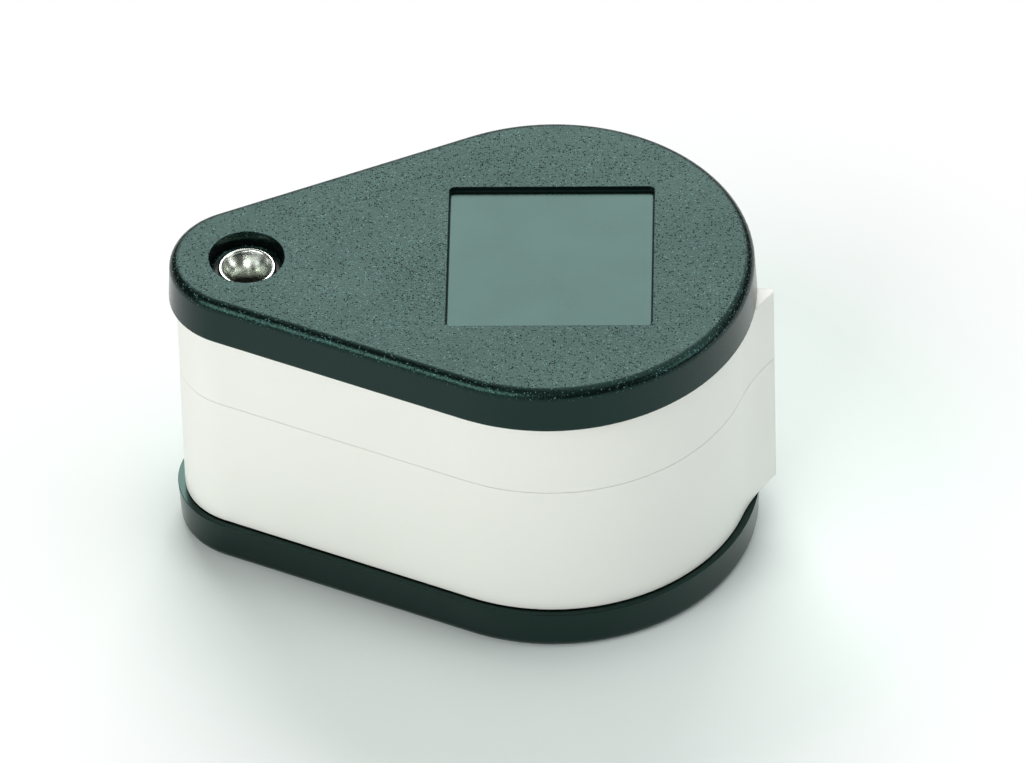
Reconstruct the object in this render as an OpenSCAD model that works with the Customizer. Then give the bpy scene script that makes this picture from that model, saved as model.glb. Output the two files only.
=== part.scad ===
// Folding pocket magnifier: two lens frames that swing out from between two covers on one hollow rivet.
// Millimetres. The origin is the foot of the optical axis on the resting face, +X towards the thumb tab, +Z up.

/* [Outline] */
// Distance from the optical axis to the pivot
pivot_distance = 28; // [26:0.5:32]
// Radius of a cover's rim at the big end
cover_radius = 19; // [18.5:0.1:21]
// Radius of a cover's rim at the pivot end
pivot_end_radius = 7.35; // [7.2:0.05:9]
// How far the lens frames sit inside the cover rims
frame_inset = 0.66; // [0.3:0.02:1]

/* [Covers] */
// Thickness of each cover
cover_thickness = 4.4; // [4:0.1:6]
// Thickness of the cover's outer plate
plate_thickness = 1.8; // [1.7:0.1:2.4]
// Thickness of the wall round a cover
wall_thickness = 1.5; // [1.2:0.1:2]
// Radius of the rounding round the outer face
edge_rounding = 1; // [0.6:0.1:1.4]
// How much smaller the outer face is than the rim, for the draft of the mould
draft = 0.22; // [0.1:0.02:0.4]
// Side of the square recess in the top face
panel_side = 19; // [12:0.5:22]
// Depth of that recess
panel_depth = 0.5; // [0.3:0.05:0.8]
// Corner radius of that recess
panel_corner = 0.5; // [0.3:0.1:4]
// Thickness of the ribs inside a cover
rib_thickness = 1; // [0.8:0.1:1.5]
// How far those ribs stay below the cover's rim
rib_drop = 0.9; // [0.5:0.1:1.5]

/* [Pivot] */
// Radius of the well over the rivet
well_radius = 3.5; // [3.35:0.05:3.8]
// Depth of the well
well_depth = 1.8; // [1.7:0.05:1.9]
// Radius of the hole through the rivet
rivet_bore = 1.3; // [1:0.05:1.4]
// Wall of the rivet's tube
rivet_wall = 0.25; // [0.2:0.05:0.3]
// Rounding in the corner of the well
well_rounding = 0.35; // [0.2:0.05:0.4]
// How much narrower the well is at its floor than at the cover's face
well_taper = 0.13; // [0.05:0.01:0.3]
// Radius of the rivet's rolled rim
rim_radius = 2.7; // [2.4:0.05:2.75]
// Depth of the rivet's rim below the cover face
rim_depth = 1.15; // [1.05:0.05:1.25]
// Depth from the rivet's rim to the foot of its funnel
flare_height = 3.4; // [2.8:0.1:3.4]
// Radius of the funnel's gentle bulge
flare_curve = 8; // [5:0.5:20]
// Thickness of the washer under the rim
rivet_washer_thickness = 0.2; // [0.15:0.05:0.25]
// Outer radius of the sleeve the frames turn on
sleeve_radius = 2.6; // [2.5:0.05:2.8]
// Play between the rivet's tube and the sleeve
sleeve_play = 0.4; // [0.35:0.05:0.5]
// Depth of each flat on the sleeve's ends, which key it into the covers
key_flat = 0.25; // [0.15:0.05:0.35]
// Play of those ends in their sockets
key_play = 0.03; // [0.02:0.01:0.06]
// Depth that each end of the sleeve goes into its cover
key_depth = 1.3; // [1:0.1:1.4]
// Running clearance between the sleeve and a bush
bush_clearance = 0.05; // [0.02:0.01:0.1]
// Wall of a bush
bush_wall = 0.6; // [0.5:0.05:0.8]
// Width of a bush's flange
bush_flange = 0.9; // [0.6:0.1:1]
// Thickness of a bush's flange
bush_flange_height = 0.6; // [0.4:0.1:0.8]
// Radius of the pockets for the slip washers and the spring
slip_washer_radius = 4.7; // [4.5:0.1:5]
// Play round a slip washer and the spring
washer_play = 0.1; // [0.06:0.02:0.2]
// Thickness of the slip washers
slip_washer_thickness = 0.5; // [0.4:0.05:0.6]
// Height of the disc spring as fitted
spring_height = 0.7; // [0.6:0.05:0.8]
// Thickness of the disc spring
spring_thickness = 0.3; // [0.25:0.05:0.4]

/* [Lens frames] */
// Height of the lower lens frame
lower_frame_height = 14.7; // [13.5:0.1:16]
// Height of the upper lens frame
upper_frame_height = 8.2; // [7.6:0.1:10]
// Gap between a frame and a cover
cover_gap = 0.15; // [0.1:0.05:0.25]
// Gap between the two frames
frame_gap = 0.05; // [0.05:0.05:0.2]
// Wall round a frame
frame_wall = 1.6; // [1.4:0.1:2]
// Skin over the cored pockets of a frame
frame_skin = 1.4; // [1.2:0.1:2]
// Thickness of the ribs between the pockets
frame_rib = 1.4; // [1:0.1:1.8]
// Distance from one of those ribs to the next
pocket_pitch = 4.8; // [4.2:0.1:5.2]
// Depth of the shallow dish round each lens
dish_depth = 0.6; // [0.4:0.1:0.8]

/* [Thumb tab] */
// Angle at which the tab leaves the frame's circle
tab_start_angle = 20; // [15:1:26]
// Radius of the tab's hollow side
tab_hollow_radius = 18.9; // [16:0.1:22]
// How far the tab stands out from the frame's circle
tab_projection = 2.16; // [1.7:0.02:3.2]
// Angle by which the tab is turned away from the line of the two axes
tab_turn = 1.3; // [0:0.1:3]
// Rounding of the tab's tip
tab_tip_radius = 0.3; // [0.2:0.05:0.4]

/* [Lenses] */
// Radius of the glass
lens_radius = 14; // [13.5:0.1:14.2]
// Width of the ledge that the glass rests on
ledge_width = 0.8; // [0.6:0.1:1]
// Play round the glass
lens_play = 0.05; // [0.03:0.01:0.1]
// Height of the taper under that ledge
ledge_taper = 0.5; // [0.3:0.1:0.8]
// Curvature radius of the upper lens
upper_curve = 60; // [55:1:80]
// Thickness of the upper lens at its edge
upper_edge = 2.6; // [2.2:0.1:2.8]
// Curvature radius of the cemented face in the upper lens
upper_cement_curve = 45; // [42:1:60]
// Thickness of the flint element at its edge
flint_edge = 1.6; // [1.4:0.1:1.8]
// Curvature radius of the lower lens
lower_curve = 34; // [32:1:45]
// Thickness of the lower lens at its edge
lower_edge = 5.4; // [4.8:0.1:5.6]
// Curvature radius of the two cemented faces in the lower lens
lower_cement_curve = 30; // [29:1:33]
// Thickness of the core element at its edge
core_edge = 1.6; // [1.2:0.1:1.8]
// Gap left for the cement
cement_gap = 0.02; // [0.01:0.005:0.04]
// Height of a retaining ring
ring_height = 1.2; // [1:0.1:1.4]
// Chamfer inside a retaining ring
ring_chamfer = 0.4; // [0.2:0.1:0.5]
// Width of the slots for a driver in a retaining ring
slot_width = 1.2; // [0.8:0.1:1.5]
// Depth of those slots
slot_depth = 0.5; // [0.3:0.1:0.7]
// How much wider a retaining ring is than the glass, all round
ring_step = 0.9; // [0.7:0.1:1.1]
// Thickness of the stop ring under the lower lens
stop_thickness = 0.9; // [0.6:0.1:1]
// How far that ring reaches in over the glass
stop_reach = 1.1; // [0.8:0.1:1.4]

/* [Hidden] */
$fn = 96;
eps = 0.01;
fit = 0.02;
overlap = 0.1;
past = 1;
// Hairline where a straight flank meets a round end, too fine to make or to see
seam = 0.0005;
lower_frame_base = cover_thickness + cover_gap;
lower_frame_top = lower_frame_base + lower_frame_height;
upper_frame_base = lower_frame_top + frame_gap;
upper_frame_top = upper_frame_base + upper_frame_height;
top_rim = upper_frame_top + cover_gap;
total_height = top_rim + cover_thickness;
radius_drop = cover_radius - pivot_end_radius;
flank_cos = radius_drop / pivot_distance;
flank_sin = sqrt(1 - flank_cos * flank_cos);
flank_angle = acos(-flank_cos);
flank_length = pivot_distance * flank_sin;
draft_angle = atan(draft / cover_thickness);
edge_width = draft + edge_rounding + plate_thickness;
core_inset = draft + 1.05 * edge_rounding;
core_step = edge_rounding / 10;
face_sink = edge_rounding / 200;
frame_radius = cover_radius - frame_inset;
frame_eye_radius = pivot_end_radius - frame_inset;
rivet_radius = rivet_bore + rivet_wall;
sleeve_bore = rivet_radius + sleeve_play;
rivet_hole = rivet_wall + 2 * fit;
boss_radius = pivot_end_radius - wall_thickness + overlap;
flat_half = sleeve_radius - key_flat;
bush_bore = sleeve_radius + bush_clearance;
bush_radius = bush_bore + bush_wall;
bush_flange_radius = bush_radius + bush_flange;
slip_washer_bore = sleeve_radius + washer_play;
slip_pocket = slip_washer_thickness - cover_gap;
middle_pocket = (slip_washer_thickness - frame_gap) / 2;
spring_radius = slip_washer_radius - washer_play;
lip_radius = (well_depth - rivet_washer_thickness - rim_depth) / 2;
flare_top = rim_depth + lip_radius;
flare_foot = rim_depth + flare_height;
flare_drop = rim_radius - 2 * lip_radius - rivet_bore;
flare_chord = sqrt(pow(flare_foot - flare_top, 2) + flare_drop * flare_drop);
flare_reach = sqrt(flare_curve * flare_curve - flare_chord * flare_chord / 4);
flare_x = rivet_bore + flare_drop / 2 + flare_reach * (flare_foot - flare_top) / flare_chord;
flare_y = (flare_top + flare_foot) / 2 + flare_reach * flare_drop / flare_chord;
lower_key_floor = cover_thickness - key_depth;
upper_key_floor = top_rim + key_depth;
clear_radius = lens_radius - ledge_width;
ring_radius = lens_radius + ring_step;
tab_reach = frame_radius + tab_projection;
upper_seat = upper_frame_base + (upper_frame_height - upper_edge) / 2;
upper_lens_base = upper_seat + fit;
upper_lens_edge_top = upper_lens_base + upper_edge;
crown_low = upper_lens_base + flint_edge;
lower_seat = lower_frame_base + (lower_frame_height - lower_edge) / 2;
lower_lens_base = lower_seat + fit;
lower_lens_edge_top = lower_lens_base + lower_edge;
core_low = lower_lens_base + (lower_edge - core_edge) / 2;
core_high = core_low + core_edge;
stop_base = lower_frame_base + dish_depth + overlap;
stop_radius = lens_radius + 4 * lens_play;
stop_opening = clear_radius - stop_reach;
black = [0.13, 0.15, 0.14];
ivory = [0.91, 0.92, 0.88];
steel = [0.72, 0.72, 0.74];
nickel = [0.85, 0.85, 0.83];
bronze = [0.75, 0.6, 0.35];
nylon = [0.85, 0.84, 0.78];
glass = [0.75, 0.88, 0.9];

// Which piece to show

// Drop-shaped outline, smaller all round by inset
module drop(inset) {
    big = cover_radius - inset;
    small = pivot_end_radius - inset;
    circle(big);
    translate([-pivot_distance, 0])
        circle(small);
    polygon([
        [-big * flank_cos, big * flank_sin],
        [-pivot_distance - small * flank_cos, small * flank_sin],
        [-pivot_distance - small * flank_cos, -small * flank_sin],
        [-big * flank_cos, -big * flank_sin]
    ]);
}

// Section of a cover's edge, outer face at zero, from the rim inwards by the width of the edge
module edge_section(rim, over) {
    face = rim - draft;
    centre = face - edge_rounding * (1 - sin(draft_angle)) / cos(draft_angle);
    spread = draft * over / cover_thickness;
    translate([centre, edge_rounding - face_sink])
        circle(edge_rounding);
    polygon([
        [rim - edge_width, -over],
        [centre, -over],
        [centre, edge_rounding - face_sink],
        [centre + edge_rounding * cos(draft_angle), edge_rounding * (1 - sin(draft_angle)) - face_sink],
        [rim + spread, cover_thickness + over],
        [rim - edge_width, cover_thickness + over]
    ]);
}

// Filling inside the edge, a little narrower between its two circles than a true drop
module core_outline() {
    big = cover_radius - core_inset;
    small = pivot_end_radius - core_inset;
    circle(big);
    translate([-pivot_distance, 0])
        circle(small);
    polygon([
        [-(big - core_step) * flank_cos, (big - core_step) * flank_sin],
        [-pivot_distance - (small - core_step) * flank_cos, (small - core_step) * flank_sin],
        [-pivot_distance - (small - core_step) * flank_cos, -(small - core_step) * flank_sin],
        [-(big - core_step) * flank_cos, -(big - core_step) * flank_sin]
    ]);
}

// Solid body of a cover with its drafted and rounded edge, outer face down, trimmed from a taller one
module cover_body() {
    intersection() {
        union() {
            rotate([0, 0, -flank_angle])
                rotate_extrude(angle = 2 * flank_angle)
                    edge_section(cover_radius, edge_rounding);
            translate([-pivot_distance, 0, 0])
                rotate([0, 0, flank_angle])
                    rotate_extrude(angle = 360 - 2 * flank_angle)
                        edge_section(pivot_end_radius, edge_rounding);
            for (side = [0, 1])
                mirror([0, side, 0])
                    rotate([0, 0, flank_angle])
                        rotate([90, 0, 0])
                            translate([0, 0, seam - flank_length])
                                linear_extrude(flank_length - 2 * seam)
                                    edge_section(cover_radius, 1.2 * edge_rounding);
            translate([0, 0, -1.4 * edge_rounding])
                linear_extrude(cover_thickness + 2.8 * edge_rounding)
                    core_outline();
        }
        translate([-2 * pivot_distance, -2 * cover_radius, 0])
            cube([4 * pivot_distance, 4 * cover_radius, cover_thickness]);
    }
}

// Keyed end of the sleeve or its socket
module keyed(grow) {
    intersection() {
        circle(sleeve_radius + grow);
        square([2 * (flat_half + grow), 3 * sleeve_radius], center = true);
    }
}

// Half section of the funnel in the rivet's end, wider all round by wall
module funnel(wall) {
    difference() {
        translate([0, flare_top])
            square([rivet_bore + wall + flare_drop, flare_foot - flare_top]);
        translate([flare_x + wall, flare_y])
            circle(flare_curve);
    }
}

// Well over the rivet, slightly tapered, with a rounded corner at its floor
module well() {
    corner = well_radius - well_taper - well_rounding;
    rotate_extrude() {
        polygon([
            [0, -past],
            [well_radius, -past],
            [well_radius, 0],
            [corner + well_rounding, well_depth - well_rounding],
            [corner, well_depth],
            [0, well_depth]
        ]);
        translate([corner, well_depth - well_rounding])
            circle(well_rounding);
    }
}

// One cover with the outer face down, hollow inside, with boss, well and ribs
module cover_shell(spring_recess) {
    difference() {
        cover_body();
        difference() {
            translate([0, 0, plate_thickness])
                linear_extrude(cover_thickness)
                    difference() {
                        drop(wall_thickness);
                        translate([-pivot_distance, 0])
                            circle(boss_radius);
                    }
            linear_extrude(cover_thickness - rib_drop) {
                for (turn = [-12, 12])
                    translate([-pivot_distance, 0])
                        rotate(turn)
                            translate([0, -rib_thickness / 2])
                                square([pivot_distance - lens_radius, rib_thickness]);
                difference() {
                    circle(lens_radius + rib_thickness);
                    circle(lens_radius);
                }
            }
        }
        translate([-pivot_distance, 0, 0]) {
            well();
            rotate_extrude()
                funnel(rivet_hole);
            cylinder(h = 2 * cover_thickness, r = rivet_bore + rivet_hole);
            translate([0, 0, cover_thickness - key_depth])
                linear_extrude(key_depth + past)
                    keyed(key_play);
            translate([0, 0, cover_thickness - spring_recess])
                cylinder(h = spring_recess + past, r = slip_washer_radius);
        }
    }
}

module bottom_cover() {
    color(black)
        cover_shell(0);
}

module top_cover() {
    color(black)
        difference() {
            translate([0, 0, total_height])
                mirror([0, 0, 1])
                    cover_shell(spring_height);
            translate([0, 0, total_height - panel_depth])
                linear_extrude(panel_depth + past)
                    panel_outline();
        }
}

module panel_outline() {
    straight = panel_side - 2 * panel_corner;
    square([panel_side, straight], center = true);
    square([straight, panel_side], center = true);
    for (x = [-1, 1])
        for (y = [-1, 1])
            translate([x * straight / 2, y * straight / 2])
                circle(panel_corner);
}

// Half section of the rivet, from its end face up to the middle
module rivet_half() {
    difference() {
        funnel(rivet_wall);
        funnel(0);
    }
    translate([rivet_bore, flare_foot])
        square([rivet_wall, total_height / 2 - flare_foot]);
    translate([rim_radius - lip_radius, flare_top])
        circle(lip_radius);
}

module pivot_rivet() {
    color(nickel)
        translate([-pivot_distance, 0, 0])
            rotate_extrude() {
                rivet_half();
                translate([0, total_height])
                    mirror([0, 1])
                        rivet_half();
            }
}

module pivot_sleeve() {
    color(steel)
        translate([-pivot_distance, 0, 0])
            difference() {
                union() {
                    translate([0, 0, lower_key_floor])
                        linear_extrude(upper_key_floor - lower_key_floor)
                            keyed(0);
                    translate([0, 0, cover_thickness])
                        cylinder(h = top_rim - cover_thickness, r = sleeve_radius);
                }
                cylinder(h = total_height, r = sleeve_bore);
            }
}

module rivet_washer() {
    translate([-pivot_distance, 0, 0])
        difference() {
            cylinder(h = rivet_washer_thickness, r = well_radius - well_taper - well_rounding - fit);
            translate([0, 0, -past])
                cylinder(h = 3 * past, r = rim_radius - lip_radius);
        }
}

module bottom_rivet_washer() {
    color(steel)
        translate([0, 0, well_depth - rivet_washer_thickness])
            rivet_washer();
}

module top_rivet_washer() {
    color(steel)
        translate([0, 0, total_height - well_depth])
            rivet_washer();
}

module slip_washer(base) {
    color(nylon)
        translate([-pivot_distance, 0, base])
            difference() {
                cylinder(h = slip_washer_thickness, r = slip_washer_radius - washer_play);
                translate([0, 0, -past])
                    cylinder(h = 3 * past, r = slip_washer_bore);
            }
}

module bottom_slip_washer() {
    slip_washer(cover_thickness);
}

module middle_slip_washer() {
    slip_washer(lower_frame_top - middle_pocket);
}

module top_slip_washer() {
    slip_washer(upper_frame_top - slip_pocket);
}

module disc_spring() {
    color(steel)
        translate([-pivot_distance, 0, top_rim])
            rotate_extrude()
                polygon([
                    [slip_washer_bore, 0],
                    [spring_radius, spring_height - spring_thickness],
                    [spring_radius, spring_height],
                    [slip_washer_bore, spring_thickness]
                ]);
}

// Thumb tab that joins the frame's circle along a hollow curve
module tab_outline() {
    centre = frame_radius + tab_hollow_radius - fit;
    rotate(tab_turn)
        difference() {
            union() {
                polygon([
                    [frame_radius * cos(tab_start_angle), -frame_radius * sin(tab_start_angle)],
                    [tab_reach, -3 * tab_tip_radius],
                    [tab_reach, -tab_tip_radius],
                    [tab_reach - tab_tip_radius, 0],
                    [frame_radius - frame_wall, 0],
                    [frame_radius - 2 * frame_wall, -frame_radius * sin(tab_start_angle)]
                ]);
                translate([tab_reach - tab_tip_radius, -tab_tip_radius])
                    circle(tab_tip_radius);
            }
            translate([centre * cos(tab_start_angle), -centre * sin(tab_start_angle)])
                circle(tab_hollow_radius);
        }
}

// One frame from base up, with its lens bore, ledge, ring seat, eye, dishes and cored pockets
module frame_body(base, height, seat, ring_base, lower_pocket, upper_pocket, stop_recess) {
    difference() {
        union() {
            translate([0, 0, base])
                linear_extrude(height)
                    drop(frame_inset);
            translate([0, 0, base])
                linear_extrude(height)
                    tab_outline();
        }
        translate([0, 0, base - past])
            cylinder(h = height + 2 * past, r = clear_radius);
        translate([0, 0, seat - ledge_taper])
            cylinder(h = ledge_taper, r1 = clear_radius, r2 = lens_radius + lens_play);
        translate([0, 0, seat])
            cylinder(h = height, r = lens_radius + lens_play);
        translate([0, 0, ring_base])
            cylinder(h = height, r = ring_radius + fit);
        translate([0, 0, base - past])
            cylinder(h = dish_depth + past, r = ring_radius);
        if (stop_recess > 0)
            translate([0, 0, base])
                cylinder(h = stop_recess, r = stop_radius + fit);
        translate([0, 0, base - past])
            linear_extrude(height - frame_skin + past)
                pockets();
        translate([-pivot_distance, 0, base - past])
            cylinder(h = height + 2 * past, r = bush_radius + fit);
        translate([-pivot_distance, 0, base - past])
            cylinder(h = lower_pocket + past, r = slip_washer_radius);
        translate([-pivot_distance, 0, base + height - upper_pocket])
            cylinder(h = upper_pocket + past, r = slip_washer_radius);
        translate([-pivot_distance, 0, base])
            cylinder(h = lower_pocket + bush_flange_height, r = bush_flange_radius + fit);
    }
}

// Cored pockets between the lens barrel and the eye, with three ribs left between them
module pockets() {
    difference() {
        drop(frame_inset + frame_wall);
        circle(frame_radius - frame_wall + overlap / 2);
        translate([-pivot_distance, 0])
            circle(boss_radius);
        for (y = [-pocket_pitch, 0, pocket_pitch])
            translate([-pivot_distance, y - frame_rib / 2])
                square([pivot_distance, frame_rib]);
    }
}

module lower_frame() {
    color(ivory)
        frame_body(lower_frame_base, lower_frame_height, lower_seat, lower_lens_edge_top + fit, slip_pocket,
            middle_pocket, dish_depth + overlap + stop_thickness);
}

module upper_frame() {
    color(ivory)
        frame_body(upper_frame_base, upper_frame_height, upper_seat, upper_lens_edge_top + fit, middle_pocket,
            slip_pocket, 0);
}

// Flanged bush, flange at the bottom
module bush(base, height) {
    color(bronze)
        translate([-pivot_distance, 0, base])
            difference() {
                union() {
                    cylinder(h = height, r = bush_radius);
                    cylinder(h = bush_flange_height, r = bush_flange_radius);
                }
                translate([0, 0, -past])
                    cylinder(h = height + 2 * past, r = bush_bore);
            }
}

module lower_bush() {
    bush(lower_frame_base + slip_pocket, lower_frame_height - slip_pocket - middle_pocket);
}

module upper_bush() {
    bush(upper_frame_base + middle_pocket, upper_frame_height - slip_pocket - middle_pocket);
}

module lower_stop_ring() {
    color(black)
        translate([0, 0, stop_base])
            difference() {
                cylinder(h = stop_thickness, r = stop_radius);
                translate([0, 0, -eps])
                    cylinder(h = stop_thickness + 2 * eps, r1 = stop_opening, r2 = clear_radius - overlap);
            }
}

// Retaining ring on the glass, relieved over the bulge, with two slots for a driver
module lens_ring(base) {
    color(black)
        translate([0, 0, base])
            difference() {
                rotate_extrude()
                    polygon([
                        [ring_radius, 0],
                        [ring_radius, ring_height],
                        [clear_radius + ring_chamfer, ring_height],
                        [clear_radius, ring_height - ring_chamfer],
                        [clear_radius, ring_height / 2 - lens_play],
                        [lens_radius, lens_play],
                        [lens_radius + lens_play, 0]
                    ]);
                translate([-ring_radius - past, -slot_width / 2, ring_height - slot_depth])
                    cube([2 * ring_radius + 2 * past, slot_width, slot_depth + past]);
            }
}

module lower_lens_ring() {
    lens_ring(lower_lens_edge_top + fit);
}

module upper_lens_ring() {
    lens_ring(upper_lens_edge_top + fit);
}

// Ball whose face bulges down from the edge plane
module bulge_down(edge, curve) {
    translate([0, 0, edge + sqrt(curve * curve - lens_radius * lens_radius)])
        sphere(curve, $fn = 360);
}

// Ball whose face bulges up from the edge plane
module bulge_up(edge, curve) {
    translate([0, 0, edge - sqrt(curve * curve - lens_radius * lens_radius)])
        sphere(curve, $fn = 360);
}

// Plain disc of glass round the optical axis
module blank(from, to) {
    translate([0, 0, from])
        cylinder(h = to - from, r = lens_radius);
}

module lower_lens_rear() {
    color(glass)
        difference() {
            intersection() {
                blank(lower_lens_base - lens_radius, core_low - cement_gap - overlap);
                bulge_down(lower_lens_base, lower_curve);
            }
            bulge_down(core_low - cement_gap, lower_cement_curve);
        }
}

module lower_lens_core() {
    color(glass)
        intersection() {
            blank(core_low - lens_radius, core_high + lens_radius);
            bulge_down(core_low, lower_cement_curve);
            bulge_up(core_high, lower_cement_curve);
        }
}

module lower_lens_front() {
    color(glass)
        difference() {
            intersection() {
                blank(core_high + cement_gap + overlap, lower_lens_edge_top + lens_radius);
                bulge_up(lower_lens_edge_top, lower_curve);
            }
            bulge_up(core_high + cement_gap, lower_cement_curve);
        }
}

module upper_lens_flint() {
    color(glass)
        difference() {
            intersection() {
                blank(upper_lens_base - lens_radius, crown_low - cement_gap - overlap);
                bulge_down(upper_lens_base, upper_curve);
            }
            bulge_down(crown_low - cement_gap, upper_cement_curve);
        }
}

module upper_lens_crown() {
    color(glass)
        intersection() {
            blank(crown_low - lens_radius, upper_lens_edge_top + lens_radius);
            bulge_down(crown_low, upper_cement_curve);
            bulge_up(upper_lens_edge_top, upper_curve);
        }
}

bottom_cover();
top_cover();
pivot_rivet();
pivot_sleeve();
bottom_rivet_washer();
top_rivet_washer();
bottom_slip_washer();
middle_slip_washer();
top_slip_washer();
disc_spring();
lower_frame();
upper_frame();
lower_bush();
upper_bush();
lower_stop_ring();
lower_lens_rear();
lower_lens_core();
lower_lens_front();
lower_lens_ring();
upper_lens_flint();
upper_lens_crown();
upper_lens_ring();
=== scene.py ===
import math

import bpy
from mathutils import Matrix, Vector

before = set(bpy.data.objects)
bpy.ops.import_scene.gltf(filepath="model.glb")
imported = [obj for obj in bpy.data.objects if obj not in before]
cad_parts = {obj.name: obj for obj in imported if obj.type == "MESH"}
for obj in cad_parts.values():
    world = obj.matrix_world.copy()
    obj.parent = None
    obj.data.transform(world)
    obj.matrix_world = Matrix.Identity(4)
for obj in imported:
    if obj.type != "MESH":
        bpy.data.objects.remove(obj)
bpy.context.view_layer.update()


# Helpers that build shader nodes
def new_material(name):
    material = bpy.data.materials.new(name)
    material.use_nodes = True
    tree = material.node_tree
    return material, tree, tree.nodes["Principled BSDF"]


def feed(tree, value, socket):
    if isinstance(value, (int, float)):
        socket.default_value = value
    else:
        tree.links.new(value, socket)


def coordinates(tree, kind="Object"):
    return tree.nodes.new("ShaderNodeTexCoord").outputs[kind]


def split_axes(tree, vector):
    node = tree.nodes.new("ShaderNodeSeparateXYZ")
    tree.links.new(vector, node.inputs[0])
    return node.outputs["X"], node.outputs["Y"], node.outputs["Z"]


def math_node(tree, operation, *values):
    node = tree.nodes.new("ShaderNodeMath")
    node.operation = operation
    for value, socket in zip(values, node.inputs):
        feed(tree, value, socket)
    return node.outputs[0]


def multiply(tree, first, second):
    return math_node(tree, "MULTIPLY", first, second)


def add(tree, first, second):
    return math_node(tree, "ADD", first, second)


def subtract(tree, first, second):
    return math_node(tree, "SUBTRACT", first, second)


def absolute(tree, value):
    return math_node(tree, "ABSOLUTE", value)


def distance_from(tree, coords, place):
    node = tree.nodes.new("ShaderNodeVectorMath")
    node.operation = "DISTANCE"
    node.inputs[1].default_value = place
    tree.links.new(coords, node.inputs[0])
    return node.outputs["Value"]


def noise(tree, coords, scale, detail, roughness):
    node = tree.nodes.new("ShaderNodeTexNoise")
    node.inputs["Scale"].default_value = scale
    node.inputs["Detail"].default_value = detail
    node.inputs["Roughness"].default_value = roughness
    tree.links.new(coords, node.inputs["Vector"])
    return node.outputs["Fac"]


def ramp(tree, factor, stops):
    node = tree.nodes.new("ShaderNodeValToRGB")
    for element, (position, colour) in zip(node.color_ramp.elements, stops):
        element.position = position
        element.color = (*colour, 1)
    tree.links.new(factor, node.inputs["Fac"])
    return node.outputs["Color"]


def span(tree, value, source, result=(0.0, 1.0)):
    node = tree.nodes.new("ShaderNodeMapRange")
    node.inputs["From Min"].default_value = source[0]
    node.inputs["From Max"].default_value = source[1]
    node.inputs["To Min"].default_value = result[0]
    node.inputs["To Max"].default_value = result[1]
    tree.links.new(value, node.inputs["Value"])
    return node.outputs["Result"]


BEVEL_SAMPLES = 8


def soft_edges(tree, radius):
    node = tree.nodes.new("ShaderNodeBevel")
    node.samples = BEVEL_SAMPLES
    node.inputs["Radius"].default_value = radius
    return node.outputs["Normal"]


def bump(tree, height, strength, distance, normal):
    node = tree.nodes.new("ShaderNodeBump")
    node.inputs["Distance"].default_value = distance
    feed(tree, strength, node.inputs["Strength"])
    tree.links.new(height, node.inputs["Height"])
    tree.links.new(normal, node.inputs["Normal"])
    return node.outputs["Normal"]


# Places on the covers that their look follows, in metres
MIDDLE_HEIGHT = 0.016025
COVER_HEIGHT_FADE = (0.0122, 0.0134)
PANEL_SIDE_FADE = (0.00952, 0.00948)
PANEL_TOP_FADE = (0.03200, 0.03190)
PANEL_BASE_FADE = (0.0290, 0.0300)
PANEL_CORNER_FADE = (0.00930, 0.00940)
# Place near which more of the painted glints show, and the reach over which they thin out
GLINT_PLACE = (-0.0145, 0.0, 0.032)
GLINT_PLACE_FADE = (0.003, 0.015)

# How squarely a cover's surface faces up or down where grain and dull finish come in
GRAIN_FACING = (0.06, 0.35)
DULL_FACING = (0.86, 0.985)

# Grain of the covers: cells for the dark specks and for bright specks that are painted glints, and clouds
# that change how many are dark
FINE_SCALE = 5200
CLOUD_SCALE = 130
SPECK_SCALE = 6000
SPECK_EDGE = (0.5, 0.2)
CLOUD_RANGE = (0.35, 0.65)
DARK_DRAW_ABOVE = (0.86, 0.70)
GLINT_SHARE = (0.24, 0.14)

# Colour and shine of the covers
COVER_COLOUR = (0.0015, 0.004, 0.003)
# Colour of the bright specks: painted glints of the grain, not the plastic's own colour
GLINT_SPECK_COLOUR = (0.09, 0.19, 0.19)
COVER_SHINE_TINT = (0.45, 1.0, 0.87, 1)
COVER_SHINE_LEVEL = 0.38
SMEAR_SCALE = 160
SMEAR_RANGE = (0.3, 0.7)
COVER_ROUGHNESS = (0.18, 0.22)
DULL_ROUGHNESS = 0.19
PANEL_ROUGHNESS = 0.06
CORNER_ROUGHNESS = 0.55
DARK_SPECK_ROUGHNESS = 0.58

# Relief of the covers, lengths in metres
COVER_EDGE_RADIUS = 0.00012
FINE_HEIGHT = 0.3
DARK_SPECK_DEPTH = 0.2
GRAIN_RELIEF = 0.00009
SMEAR_STRENGTH = 0.05
SMEAR_RELIEF = 0.00005


def cover_zones(tree, coords):
    x, y, z = split_axes(tree, coords)
    normal_z = split_axes(tree, coordinates(tree, "Normal"))[2]
    facing = absolute(tree, normal_z)
    from_middle = absolute(tree, subtract(tree, z, MIDDLE_HEIGHT))
    outer = span(tree, from_middle, COVER_HEIGHT_FADE)
    grain = multiply(tree, span(tree, facing, GRAIN_FACING), outer)
    dull = multiply(tree, span(tree, facing, DULL_FACING), grain)
    away_x = absolute(tree, x)
    away_y = absolute(tree, y)
    within_sides = multiply(tree, span(tree, away_x, PANEL_SIDE_FADE), span(tree, away_y, PANEL_SIDE_FADE))
    within_height = multiply(tree, span(tree, z, PANEL_TOP_FADE), span(tree, z, PANEL_BASE_FADE))
    panel = multiply(tree, within_sides, within_height)
    near_side_x = span(tree, away_x, PANEL_CORNER_FADE)
    near_side_y = span(tree, away_y, PANEL_CORNER_FADE)
    corner = multiply(tree, panel, math_node(tree, "MAXIMUM", near_side_x, near_side_y))
    off_panel = subtract(tree, 1.0, panel)
    return multiply(tree, grain, off_panel), multiply(tree, dull, off_panel), panel, corner


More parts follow.
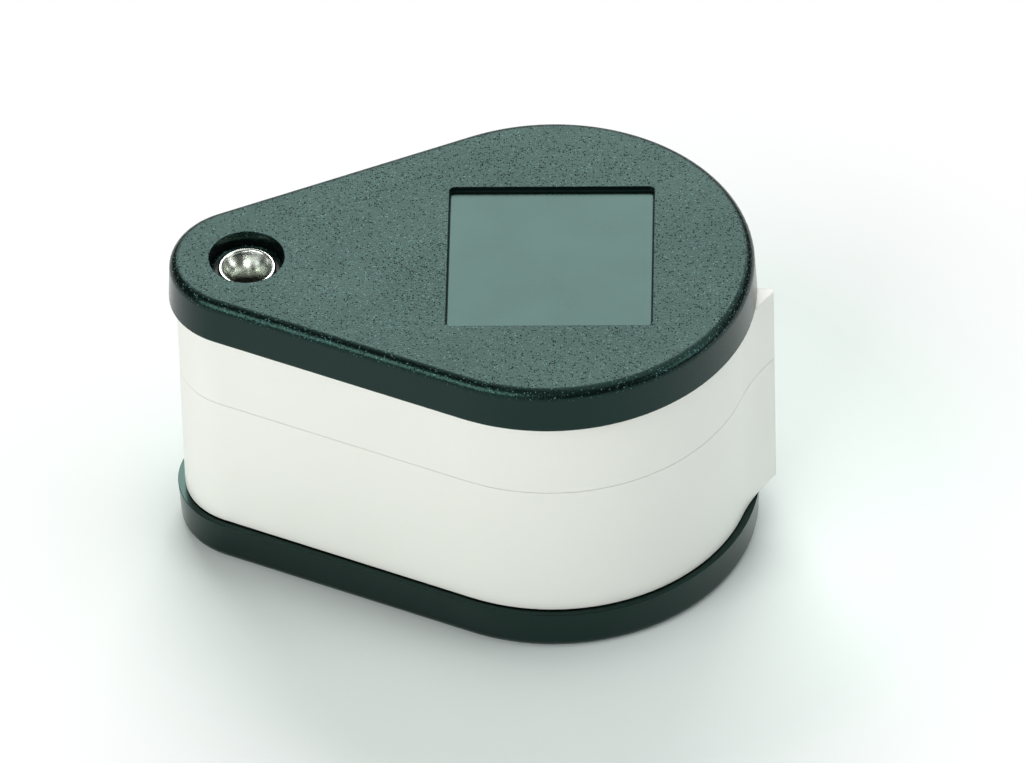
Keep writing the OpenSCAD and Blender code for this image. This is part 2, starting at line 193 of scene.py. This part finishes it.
def cover_specks(tree, coords, grain):
    cells = tree.nodes.new("ShaderNodeTexVoronoi")
    cells.inputs["Scale"].default_value = SPECK_SCALE
    tree.links.new(coords, cells.inputs["Vector"])
    draws = tree.nodes.new("ShaderNodeSeparateColor")
    tree.links.new(cells.outputs["Color"], draws.inputs[0])
    spot = multiply(tree, span(tree, cells.outputs["Distance"], SPECK_EDGE), grain)
    cloud = noise(tree, coords, CLOUD_SCALE, detail=2, roughness=0.5)
    dark_above = span(tree, cloud, CLOUD_RANGE, DARK_DRAW_ABOVE)
    dark = multiply(tree, spot, math_node(tree, "GREATER_THAN", draws.outputs[0], dark_above))
    # Bright specks are painted glints, with more of them near one place
    from_glint_place = distance_from(tree, coords, GLINT_PLACE)
    glint_above = subtract(tree, 1.0, span(tree, from_glint_place, GLINT_PLACE_FADE, GLINT_SHARE))
    glint_specks = multiply(tree, spot, math_node(tree, "GREATER_THAN", draws.outputs[1], glint_above))
    return dark, glint_specks


# Black cover plastic: grain on the outer face that fades over its rounding, smooth wall and panel floor
def cover_material(name):
    material, tree, shader = new_material(name)
    coords = coordinates(tree)
    grain, dull, panel, corner = cover_zones(tree, coords)
    dark, glint_specks = cover_specks(tree, coords, grain)
    # The base colour carries the painted glints of the bright specks
    colour = ramp(tree, glint_specks, [(0.0, COVER_COLOUR), (1.0, GLINT_SPECK_COLOUR)])
    tree.links.new(colour, shader.inputs["Base Color"])
    shader.inputs["Specular Tint"].default_value = COVER_SHINE_TINT
    shader.inputs["Specular IOR Level"].default_value = COVER_SHINE_LEVEL
    smear = noise(tree, coords, SMEAR_SCALE, detail=3, roughness=0.6)
    smear_roughness = span(tree, smear, SMEAR_RANGE, COVER_ROUGHNESS)
    roughness = add(tree, multiply(tree, dull, DULL_ROUGHNESS), smear_roughness)
    roughness = add(tree, roughness, multiply(tree, panel, PANEL_ROUGHNESS))
    roughness = add(tree, roughness, multiply(tree, corner, CORNER_ROUGHNESS))
    roughness = add(tree, roughness, multiply(tree, dark, DARK_SPECK_ROUGHNESS))
    tree.links.new(roughness, shader.inputs["Roughness"])
    fine = noise(tree, coords, FINE_SCALE, detail=2, roughness=0.6)
    height = subtract(tree, multiply(tree, fine, FINE_HEIGHT), multiply(tree, dark, DARK_SPECK_DEPTH))
    normal = soft_edges(tree, COVER_EDGE_RADIUS)
    normal = bump(tree, height, grain, GRAIN_RELIEF, normal)
    normal = bump(tree, smear, SMEAR_STRENGTH, SMEAR_RELIEF, normal)
    tree.links.new(normal, shader.inputs["Normal"])
    return material


# Off-white frame plastic: half gloss with faint flow marks, lengths in metres
FLOW_SCALE = 60
FLOW_RANGE = (0.3, 0.7)
FRAME_DARKER = (0.825, 0.845, 0.785)
FRAME_LIGHTER = (0.845, 0.865, 0.805)
FRAME_ROUGHNESS = (0.30, 0.38)
FRAME_GLOW = 0.08
FRAME_GLOW_REACH = (0.0012, 0.0011, 0.0009)
FRAME_EDGE_RADIUS = 0.0001
FRAME_FINE_SCALE = 2600
FRAME_FINE_STRENGTH = 0.06
FRAME_FINE_RELIEF = 0.00003


def frame_material(name):
    material, tree, shader = new_material(name)
    coords = coordinates(tree)
    flow = noise(tree, coords, FLOW_SCALE, detail=2, roughness=0.5)
    fine = noise(tree, coords, FRAME_FINE_SCALE, detail=2, roughness=0.6)
    colour = ramp(tree, flow, list(zip(FLOW_RANGE, (FRAME_DARKER, FRAME_LIGHTER))))
    tree.links.new(colour, shader.inputs["Base Color"])
    tree.links.new(span(tree, flow, FLOW_RANGE, FRAME_ROUGHNESS), shader.inputs["Roughness"])
    shader.inputs["Subsurface Weight"].default_value = FRAME_GLOW
    shader.inputs["Subsurface Radius"].default_value = FRAME_GLOW_REACH
    normal = soft_edges(tree, FRAME_EDGE_RADIUS)
    normal = bump(tree, fine, FRAME_FINE_STRENGTH, FRAME_FINE_RELIEF, normal)
    tree.links.new(normal, shader.inputs["Normal"])
    return material


# Metals: slight wear, and turning lines where brushed is over zero, lengths in metres
METAL_WEAR_SCALE = 900
METAL_WEAR_COLOUR_RANGE = (0.35, 0.65)
METAL_WEAR_DARKENING = 0.95
METAL_WEAR_RANGE = (0.3, 0.7)
METAL_ROUGHNESS_FACTORS = (0.8, 1.3)
METAL_EDGE_RADIUS = 0.00005
METAL_WEAR_RELIEF = 0.00004
TURNING_STRETCH = (1, 1, 30)
TURNING_SCALE = 1200
TURNING_RELIEF = 0.00003


def turning_lines(tree, coords, strength, normal):
    stretch = tree.nodes.new("ShaderNodeMapping")
    stretch.inputs["Scale"].default_value = TURNING_STRETCH
    tree.links.new(coords, stretch.inputs["Vector"])
    lines = noise(tree, stretch.outputs["Vector"], TURNING_SCALE, detail=2, roughness=0.5)
    return bump(tree, lines, strength, TURNING_RELIEF, normal)


def metal_material(name, colour, roughness, brushed=0.0, marks=0.03):
    material, tree, shader = new_material(name)
    coords = coordinates(tree)
    shader.inputs["Metallic"].default_value = 1.0
    wear = noise(tree, coords, METAL_WEAR_SCALE, detail=3, roughness=0.6)
    darker = tuple(channel * METAL_WEAR_DARKENING for channel in colour)
    worn_colour = ramp(tree, wear, list(zip(METAL_WEAR_COLOUR_RANGE, (darker, colour))))
    tree.links.new(worn_colour, shader.inputs["Base Color"])
    worn_roughness = tuple(roughness * factor for factor in METAL_ROUGHNESS_FACTORS)
    tree.links.new(span(tree, wear, METAL_WEAR_RANGE, worn_roughness), shader.inputs["Roughness"])
    normal = soft_edges(tree, METAL_EDGE_RADIUS)
    if brushed:
        normal = turning_lines(tree, coords, brushed, normal)
    normal = bump(tree, wear, marks, METAL_WEAR_RELIEF, normal)
    tree.links.new(normal, shader.inputs["Normal"])
    return material


# Plain plastics and lacquers, lengths in metres
PLAIN_WEAR_SCALE = 1800
PLAIN_WEAR_COLOUR_RANGE = (0.35, 0.7)
PLAIN_WEAR_RANGE = (0.3, 0.7)
PLAIN_LIGHTENING = 1.2
PLAIN_LIGHTENING_STEP = 0.004
PLAIN_ROUGHNESS_FACTORS = (0.85, 1.15)
PLAIN_EDGE_RADIUS = 0.00006
PLAIN_WEAR_STRENGTH = 0.1
PLAIN_WEAR_RELIEF = 0.00004


def plain_material(name, colour, roughness):
    material, tree, shader = new_material(name)
    wear = noise(tree, coordinates(tree), PLAIN_WEAR_SCALE, detail=3, roughness=0.6)
    lighter = tuple(min(1.0, channel * PLAIN_LIGHTENING + PLAIN_LIGHTENING_STEP) for channel in colour)
    worn_colour = ramp(tree, wear, list(zip(PLAIN_WEAR_COLOUR_RANGE, (colour, lighter))))
    tree.links.new(worn_colour, shader.inputs["Base Color"])
    worn_roughness = tuple(roughness * factor for factor in PLAIN_ROUGHNESS_FACTORS)
    tree.links.new(span(tree, wear, PLAIN_WEAR_RANGE, worn_roughness), shader.inputs["Roughness"])
    normal = soft_edges(tree, PLAIN_EDGE_RADIUS)
    normal = bump(tree, wear, PLAIN_WEAR_STRENGTH, PLAIN_WEAR_RELIEF, normal)
    tree.links.new(normal, shader.inputs["Normal"])
    return material


# Coated lens glass
GLASS_TINT = (0.95, 0.985, 0.97, 1)
GLASS_IOR = 1.52
GLASS_COAT = 0.15
GLASS_COAT_TINT = (0.75, 0.8, 1.0, 1)


def glass_material(name):
    material, tree, shader = new_material(name)
    shader.inputs["Base Color"].default_value = GLASS_TINT
    shader.inputs["Roughness"].default_value = 0.0
    shader.inputs["IOR"].default_value = GLASS_IOR
    shader.inputs["Transmission Weight"].default_value = 1.0
    shader.inputs["Coat Weight"].default_value = GLASS_COAT
    shader.inputs["Coat Tint"].default_value = GLASS_COAT_TINT
    return material


# Which look each piece gets
LOOKS = {
    cover_material("cover_plastic"): ("bottom_cover", "top_cover"),
    frame_material("frame_plastic"): ("lower_frame", "upper_frame"),
    metal_material("nickel", (0.73, 0.76, 0.71), roughness=0.2, marks=0.004): ("pivot_rivet",),
    metal_material("turned_steel", (0.62, 0.62, 0.63), roughness=0.3, brushed=0.3): (
        "pivot_sleeve", "disc_spring",
    ),
    metal_material("turned_brass", (0.76, 0.58, 0.30), roughness=0.28, brushed=0.3): (
        "lower_bush", "upper_bush",
    ),
    plain_material("satin_black", (0.012, 0.013, 0.013), roughness=0.42): (
        "bottom_rivet_washer", "top_rivet_washer",
        "lower_stop_ring", "lower_lens_ring", "upper_lens_ring",
    ),
    plain_material("acetal", (0.72, 0.71, 0.64), roughness=0.5): (
        "bottom_slip_washer", "middle_slip_washer", "top_slip_washer",
    ),
    glass_material("lens_glass"): (
        "lower_lens_rear", "lower_lens_core", "lower_lens_front",
        "upper_lens_flint", "upper_lens_crown",
    ),
}
for look, nodes in LOOKS.items():
    for node in nodes:
        slots = bpy.data.objects[node].data.materials
        slots.clear()
        slots.append(look)

# Floor: a light green, slightly darker patch under the part, a painted shade tint, that turns white
# further out, lengths in metres
FLOOR_SIZE = 6
FLOOR_WHITE_FADE = (0.036, 0.066)
FLOOR_SHADE_TINT_COLOUR = (0.83, 0.90, 0.865)
FLOOR_FAR_COLOUR = (0.96, 0.96, 0.955)
FLOOR_ROUGHNESS = 0.9
FLOOR_SHINE_LEVEL = 0.1


def floor_material(name):
    material, tree, shader = new_material(name)
    reach = distance_from(tree, coordinates(tree), (0, 0, 0))
    whiteness = span(tree, reach, FLOOR_WHITE_FADE)
    # Near the part the base colour is a painted shade tint
    colour = ramp(tree, whiteness, [(0.0, FLOOR_SHADE_TINT_COLOUR), (1.0, FLOOR_FAR_COLOUR)])
    tree.links.new(colour, shader.inputs["Base Color"])
    shader.inputs["Roughness"].default_value = FLOOR_ROUGHNESS
    shader.inputs["Specular IOR Level"].default_value = FLOOR_SHINE_LEVEL
    paths = tree.nodes.new("ShaderNodeLightPath")
    seen = math_node(tree, "MAXIMUM", paths.outputs["Is Camera Ray"], paths.outputs["Is Glossy Ray"])
    seen = math_node(tree, "MAXIMUM", seen, paths.outputs["Is Transmission Ray"])
    white = tree.nodes.new("ShaderNodeEmission")
    mix = tree.nodes.new("ShaderNodeMixShader")
    tree.links.new(multiply(tree, seen, whiteness), mix.inputs[0])
    tree.links.new(shader.outputs[0], mix.inputs[1])
    tree.links.new(white.outputs[0], mix.inputs[2])
    tree.links.new(mix.outputs[0], tree.nodes["Material Output"].inputs["Surface"])
    return material


bpy.ops.mesh.primitive_plane_add(size=FLOOR_SIZE, location=(0, 0, 0))
floor = bpy.context.object
floor.name = "floor"
floor.data.materials.append(floor_material("floor"))

# Lights: name, place and size in metres, power in watts, colour
LIT_PLACE = Vector((0, 0, 0.02))
WHITE = (1, 1, 1)
LIGHTS = (
    ("back_box", (-0.08, 0.885, 0.70), (0.85, 0.46), 9.2, WHITE),
    ("front_box", (-0.69, -0.82, 0.56), (1.0, 0.6), 8.3, WHITE),
    ("top_box", (0.45, 0.3, 1.2), (1.3, 1.3), 6.3, WHITE),
    ("right_card", (0.95, -0.2, 0.62), (0.6, 0.35), 2.2, (0.94, 1.0, 1.04)),
    ("front_card", (-0.1, -0.75, 1.15), (0.9, 0.9), 0.9, WHITE),
)
SURROUND_COLOUR = (1, 1, 1, 1)
SURROUND_STRENGTH = 0.12


def area_light(name, place, size, power, colour):
    data = bpy.data.lights.new(name, "AREA")
    data.shape = "RECTANGLE"
    data.size, data.size_y = size
    data.energy = power
    data.color = colour
    light = bpy.data.objects.new(name, data)
    bpy.context.scene.collection.objects.link(light)
    light.location = place
    light.rotation_mode = "QUATERNION"
    light.rotation_quaternion = (LIT_PLACE - Vector(place)).to_track_quat("-Z", "Y")


for settings in LIGHTS:
    area_light(*settings)

world = bpy.data.worlds.new("world")
bpy.context.scene.world = world
world.use_nodes = True
surround = world.node_tree.nodes["Background"]
surround.inputs["Color"].default_value = SURROUND_COLOUR
surround.inputs["Strength"].default_value = SURROUND_STRENGTH

# Camera, from a fit to the photograph's edges: angles in degrees, lengths in metres
CAMERA_AZIMUTH = 2.215
CAMERA_ELEVATION = 42.698
CAMERA_ROLL = -1.73
CAMERA_DISTANCE = 1.36885
CAMERA_TARGET = Vector((-0.00394, 0.002518, 0.0140))
FOCAL_PIXELS = 14714.2
PHOTO_WIDTH_PIXELS = 1025
SENSOR_WIDTH_MM = 36
CLIP_START = 0.05
CLIP_END = 50


def camera_axes():
    azimuth = math.radians(CAMERA_AZIMUTH)
    elevation = math.radians(CAMERA_ELEVATION)
    roll = math.radians(CAMERA_ROLL)
    level = math.cos(elevation)
    back = Vector((math.sin(azimuth) * level, -math.cos(azimuth) * level, math.sin(elevation)))
    right = Vector((math.cos(azimuth), math.sin(azimuth), 0))
    up = back.cross(right)
    turn_cos, turn_sin = math.cos(roll), math.sin(roll)
    return turn_cos * right + turn_sin * up, -turn_sin * right + turn_cos * up, back


right, up, back = camera_axes()
camera_data = bpy.data.cameras.new("camera")
camera_data.sensor_width = SENSOR_WIDTH_MM
camera_data.lens = SENSOR_WIDTH_MM * FOCAL_PIXELS / PHOTO_WIDTH_PIXELS
camera_data.clip_start = CLIP_START
camera_data.clip_end = CLIP_END
camera = bpy.data.objects.new("camera", camera_data)
bpy.context.scene.collection.objects.link(camera)
pose = Matrix((right, up, back)).transposed().to_4x4()
pose.translation = CAMERA_TARGET + back * CAMERA_DISTANCE
camera.matrix_world = pose
bpy.context.scene.camera = camera
bpy.context.scene.view_settings.view_transform = "Standard"
